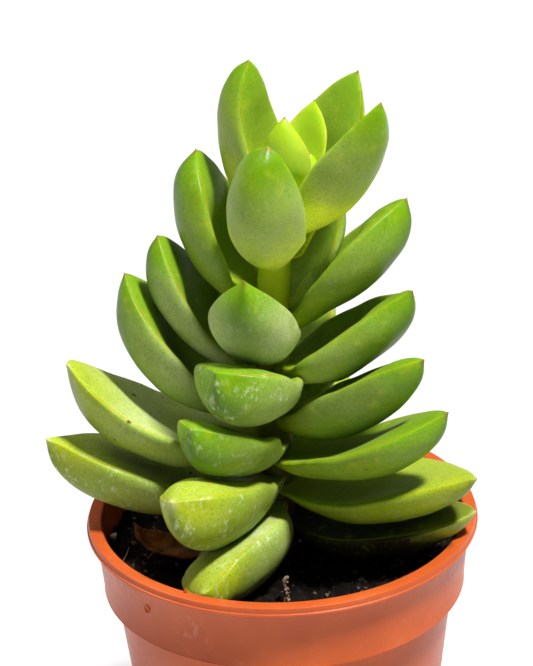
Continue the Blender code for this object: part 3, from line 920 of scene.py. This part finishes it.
# Withered leaf. The lowest leaf on the left, dried to a thin brown skin that has curled
# into a trough, still held at the stem and lying on the soil.
withered_edges = (
    ((-2.6, 1.2, 48.3), (-2.6, -2.4, 46.4), 0.4),
    ((-5.0, 1.9, 48.2), (-5.0, -3.2, 45.8), 0.7),
    ((-8.0, 2.3, 47.8), (-8.0, -3.6, 45.2), 1.1),
    ((-11.0, 1.9, 46.6), (-11.0, -3.3, 44.9), 1.2),
    ((-13.6, 1.4, 46.0), (-13.6, -2.9, 44.8), 1.0),
    ((-16.0, 1.2, 46.3), (-16.2, -2.4, 44.8), 1.0),
    ((-18.4, 0.9, 47.1), (-18.4, -1.9, 45.0), 0.7),
    ((-20.0, 0.6, 47.9), (-19.9, -1.0, 45.8), 0.4),
    ((-21.0, 0.2, 48.5), (-20.9, -0.1, 48.1), 0.1),
)
withered_columns = 13
withered_thickness = 0.55 * MM
withered_sag = Vector((0.0, -0.25, -1.0))
withered_fullness = 0.8
withered_glow = (1.0, 0.4, 0.1)
withered_brown = (0.26, 0.10, 0.020)
withered_amber = (0.55, 0.25, 0.055)
withered_vein = (0.12, 0.045, 0.012)

bpy.ops.mesh.primitive_grid_add(
    x_subdivisions=withered_columns - 1, y_subdivisions=len(withered_edges) - 1, size=2.0
)
withered = just_made("withered_leaf")
for vertex in withered.data.vertices:
    across = (vertex.co.x + 1.0) * 0.5
    far, near, sag = withered_edges[round((vertex.co.y + 1.0) * 0.5 * (len(withered_edges) - 1))]
    trough = withered_sag * sag * math.sin(math.pi * across) ** withered_fullness
    vertex.co = (Vector(far).lerp(Vector(near), across) + trough) * MM
bpy.ops.object.mode_set(mode="EDIT")
face_outwards()
apply_modifier(withered, "SOLIDIFY", thickness=withered_thickness, offset=0.0)
apply_modifier(withered, "SUBSURF", levels=3, render_levels=3)
displace(withered, "CLOUDS", 2.2, 0.9, noise_depth=2)
displace(withered, "CLOUDS", 0.7, 0.22, noise_depth=2)
bpy.ops.object.shade_smooth()

dry = new_material(
    "dried leaf skin", Roughness=0.5, Subsurface_Weight=0.2, Subsurface_Scale=0.8 * MM,
    Subsurface_Radius=withered_glow,
)
place = object_place(dry)
stained = ramp(dry, noise_of(dry, place, 3.0, detail=5.0, roughness=0.6), 0.3, 0.7)
colour = blend_colours(dry, stained, withered_brown, withered_amber)
veined = add_node(dry, "Mapping", {"Vector": place, "Scale": (0.22, 1.0, 1.0)})
veins = noise_of(dry, veined.outputs["Vector"], 0.8, detail=4.0)
colour = blend_colours(dry, ramp(dry, veins, 0.45, 0.7, 0.0, 0.6), colour, withered_vein)
plug(dry, colour, "Base Color")
bump_with(dry, veins, 0.15)
withered.data.materials.append(dry)
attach(withered, "root")
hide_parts("leaf_left_1")


# Twig. A short piece of dead twig, its foot pressed into the soil in front of the plant,
# with lumps of soil dried on to it.
twig_points = (
    (-0.1, -15.7, 39.8), (-0.15, -15.7, 43.2), (-0.05, -15.75, 44.4), (0.12, -15.8, 45.6),
    (-0.05, -15.8, 46.6), (-0.15, -15.8, 47.4), (0.1, -15.75, 47.9), (0.45, -15.7, 48.3),
)
twig_radii = (0.45, 0.42, 0.36, 0.34, 0.3, 0.36, 0.42, 0.3)
twig_sides = 10
twig_back = -15.75
crust_seed = 7
crust_lumps = 34
crust_foot = 43.6
crust_height = 4.9
crust_reach = 0.32
crust_foot_reach = 0.75
lump_roughness = 0.55
bark_dark = (0.075, 0.042, 0.026)
bark_pale = (0.30, 0.19, 0.13)


def soil_lump(name, centre, radius, squash, turn):
    """A rough crumb: a coarse ball, flattened, turned and dented by its own noise."""
    bpy.ops.mesh.primitive_ico_sphere_add(subdivisions=2, radius=radius)
    lump = just_made(name)
    for vertex in lump.data.vertices:
        dent = noise.noise(vertex.co / radius * 1.3 + Vector(centre) * 900.0)
        vertex.co *= 1.0 + lump_roughness * dent
        vertex.co.z *= squash
    edit_all()
    bpy.ops.transform.rotate(value=turn, orient_axis="Z", center_override=(0.0, 0.0, 0.0))
    bpy.ops.transform.translate(value=centre)
    bpy.ops.object.mode_set(mode="OBJECT")
    return lump


def join_pieces(pieces, name):
    bpy.ops.object.select_all(action="DESELECT")
    for piece in pieces:
        piece.select_set(True)
    bpy.context.view_layer.objects.active = pieces[0]
    bpy.ops.object.join()
    pieces[0].name = name
    return pieces[0]


def drawn_rod(name, points, radii, sides):
    """A thin rod that follows points given in millimetres, with a radius at each."""
    points = [Vector(p) * MM for p in points]
    rod = start_disc(name, sides, radii[0] * MM, 0.0)
    bpy.ops.transform.translate(value=points[0])
    for i in range(1, len(points)):
        draw_on(points[i] - points[i - 1], radii[i] / radii[i - 1], points[i])
    face_outwards()
    return rod


twig = drawn_rod("dead_twig", twig_points, twig_radii, twig_sides)
apply_modifier(twig, "SUBSURF", levels=2, render_levels=2)
displace(twig, "CLOUDS", 0.5, 0.35, noise_depth=2)
dice = random.Random(crust_seed)
crust = []
for number in range(crust_lumps):
    share = dice.random() ** 1.4
    spread = crust_reach + crust_foot_reach * (1.0 - share) ** 4
    turn = dice.uniform(0.0, 2.0 * math.pi)
    x, y = spread * math.cos(turn), twig_back + spread * math.sin(turn)
    centre = Vector((x, y, crust_foot + crust_height * share)) * MM
    crust.append(soil_lump("crust", centre, dice.uniform(0.12, 0.26) * MM, 0.8, turn))
twig = join_pieces([twig] + crust, "dead_twig")
bpy.ops.object.shade_smooth()

bark = new_material("dead twig", Roughness=0.9)
place = object_place(bark)
weathered = ramp(bark, noise_of(bark, place, 0.5, detail=4.0), 0.35, 0.65)
plug(bark, blend_colours(bark, weathered, bark_dark, bark_pale), "Base Color")
bump_with(bark, noise_of(bark, place, 0.2, detail=3.0), 0.08)
twig.data.materials.append(bark)
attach(twig, "root")
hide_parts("twig")


# Crumbs. Dry crumbs of peat and bark that lie loose on the soil, most of them along the
# pot's wall. A zone is a middle and a spread in degrees, two radii and a count.
crumb_seed = 21
crumb_zones = (
    (-94, 24, 15.5, 23.2, 26), (-66, 26, 18.5, 23.4, 34), (-146, 16, 19.0, 23.0, 22),
    (-20, 14, 19.5, 23.0, 14), (-120, 30, 18.0, 23.2, 16), (60, 110, 14.0, 23.0, 40),
    (-100, 140, 6.0, 18.0, 34),
)
big_crumb_share = 0.12
big_crumb_size = 1.5
crumb_dark = (0.022, 0.013, 0.008)
crumb_pale = (0.22, 0.135, 0.085)


def soil_height(x, y):
    hit, spot = soil.ray_cast(Vector((x, y, 0.2)), Vector((0.0, 0.0, -1.0)))[:2]
    return spot.z if hit else soil_level


dice = random.Random(crumb_seed)
crumbs = []
for middle, spread, nearest, farthest, count in crumb_zones:
    for number in range(count):
        turn = math.radians(middle + dice.uniform(-spread, spread))
        reach = dice.uniform(nearest, farthest) * MM
        radius = dice.uniform(0.14, 0.42) * MM
        radius *= big_crumb_size if dice.random() < big_crumb_share else 1.0
        x, y = reach * math.cos(turn), reach * math.sin(turn)
        centre = Vector((x, y, soil_height(x, y) + 0.3 * radius))
        crumbs.append(soil_lump("crumb", centre, radius, dice.uniform(0.5, 0.9), turn))
crumbs = join_pieces(crumbs, "peat_crumbs")

peat = new_material("dry peat", Roughness=0.95)
place = object_place(peat)
tone = ramp(peat, noise_of(peat, place, 1.3, detail=4.0, roughness=0.65), 0.35, 0.7)
plug(peat, blend_colours(peat, tone, crumb_dark, crumb_pale), "Base Color")
bump_with(peat, noise_of(peat, place, 0.2, detail=3.0), 0.08)
crumbs.data.materials.append(peat)
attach(crumbs, "root")


# Pale grains. A few white grains of grit that came with the soil and lie on it, each with
# its place and radius in millimetres, and kept inside the pot's wall.
pale_grains = (
    (-24.6, 1.6, 0.5), (2.4, 1.2, 0.28), (17.6, -15.6, 0.24), (-15.0, 12.0, 0.4),
    (6.0, 19.0, 0.45),
)
grain_limit = soil_top_radius / MM - 0.6
grain_white = (0.80, 0.78, 0.72)
grain_cream = (0.55, 0.50, 0.42)

grains = []
for x, y, radius in pale_grains:
    inward = min(1.0, grain_limit / math.hypot(x, y))
    x, y = x * inward * MM, y * inward * MM
    centre = Vector((x, y, soil_height(x, y) + 0.4 * radius * MM))
    grains.append(soil_lump("grain", centre, radius * MM, 0.8, x * 900.0))
grains = join_pieces(grains, "pale_grains")

grit = new_material("pale grain", Roughness=0.8)
mottled = noise_of(grit, object_place(grit), 0.4)
plug(grit, blend_colours(grit, mottled, grain_white, grain_cream), "Base Color")
grains.data.materials.append(grit)
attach(grains, "root")


# Root fibres. Fine dead roots, thin as thread, that stick out of the soil and taper to
# their free end.
fibre_paths = (
    ((-23.2, -4.2, 43.6), (-22.6, -3.8, 44.8), (-21.9, -3.4, 45.8), (-21.6, -2.6, 46.6)),
    ((-20.6, -3.4, 43.6), (-20.3, -3.3, 44.5), (-19.8, -3.3, 44.9)),
    ((-19.6, -3.2, 43.7), (-19.0, -2.6, 44.6), (-18.4, -2.2, 45.2), (-17.6, -2.4, 45.3)),
    ((15.8, -7.2, 43.5), (16.5, -6.4, 44.6), (17.4, -6.0, 45.0)),
    ((19.5, -9.0, 43.6), (18.8, -8.4, 44.7), (18.2, -8.6, 45.2)),
    ((9.5, -15.0, 43.6), (10.4, -14.8, 44.5), (11.6, -14.9, 44.7)),
    ((-6.0, 19.5, 43.6), (-5.0, 18.8, 45.0), (-3.6, 18.6, 45.4)),
    ((12.0, 15.5, 43.6), (11.0, 15.8, 44.8), (9.6, 16.6, 45.1)),
)
fibre_radius = 0.12
fibre_taper = 0.07
fibre_sides = 6
fibre_straw = (0.42, 0.27, 0.17)
fibre_brown = (0.20, 0.11, 0.06)

fibres = []
for path in fibre_paths:
    radii = [fibre_radius - fibre_taper * i / (len(path) - 1) for i in range(len(path))]
    fibres.append(drawn_rod("fibre", path, radii, fibre_sides))
fibres = join_pieces(fibres, "root_fibres")
apply_modifier(fibres, "SUBSURF", levels=1, render_levels=1)
bpy.ops.object.shade_smooth()

straw = new_material("dead root fibre", Roughness=0.8)
mottled = noise_of(straw, object_place(straw), 0.8)
plug(straw, blend_colours(straw, mottled, fibre_straw, fibre_brown), "Base Color")
fibres.data.materials.append(straw)
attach(fibres, "root")


# Floor, lights and camera. A plain pale floor, one soft key high on the right in front, a
# weak fill from the back left and a weak pale surround. The camera looks down from the front.
floor_size = 6.0
floor_white = (0.64, 0.64, 0.65, 1.0)
surround_strength = 0.10
view_target = Vector((-1.25, 0.0, 77.6)) * MM
view_rise = math.radians(25.4)
view_roll = math.radians(-2.1)
view_distance = 420.0 * MM
view_lens = 165.9

bpy.ops.mesh.primitive_plane_add(size=floor_size)
floor = just_made("floor")
floor.data.materials.append(new_material("pale floor", Roughness=0.9, Base_Color=floor_white))

world = bpy.data.worlds.new("pale surround")
world.use_nodes = True
world.node_tree.nodes["Background"].inputs["Color"].default_value = (1.0, 1.0, 1.0, 1.0)
world.node_tree.nodes["Background"].inputs["Strength"].default_value = surround_strength
bpy.context.scene.world = world


def soft_light(name, azimuth, elevation, distance, size, power):
    """A square softbox that looks at the plant from an azimuth and an elevation in degrees."""
    direction = towards(math.radians(azimuth), math.radians(elevation))
    bpy.ops.object.light_add(type="AREA", location=view_target + direction * distance)
    light = just_made(name)
    light.data.shape = "SQUARE"
    light.data.size = size
    light.data.energy = power
    light.rotation_euler = direction.to_track_quat("Z", "Y").to_euler()


soft_light("key softbox", azimuth=-42.0, elevation=68.0, distance=2.5, size=0.3, power=105.0)
soft_light("fill softbox", azimuth=150.0, elevation=55.0, distance=1.5, size=0.8, power=7.0)

back = Vector((0.0, -math.cos(view_rise), math.sin(view_rise)))
bpy.ops.object.camera_add()
camera = bpy.context.active_object
camera.matrix_world = (
    Matrix.Translation(view_target + back * view_distance)
    @ Matrix.Rotation(math.pi / 2.0 - view_rise, 4, "X")
    @ Matrix.Rotation(view_roll, 4, "Z")
)
camera.data.lens = view_lens
camera.data.sensor_width = 36.0
camera.data.clip_start = 0.01
bpy.context.scene.camera = camera
bpy.context.scene.view_settings.view_transform = "Standard"
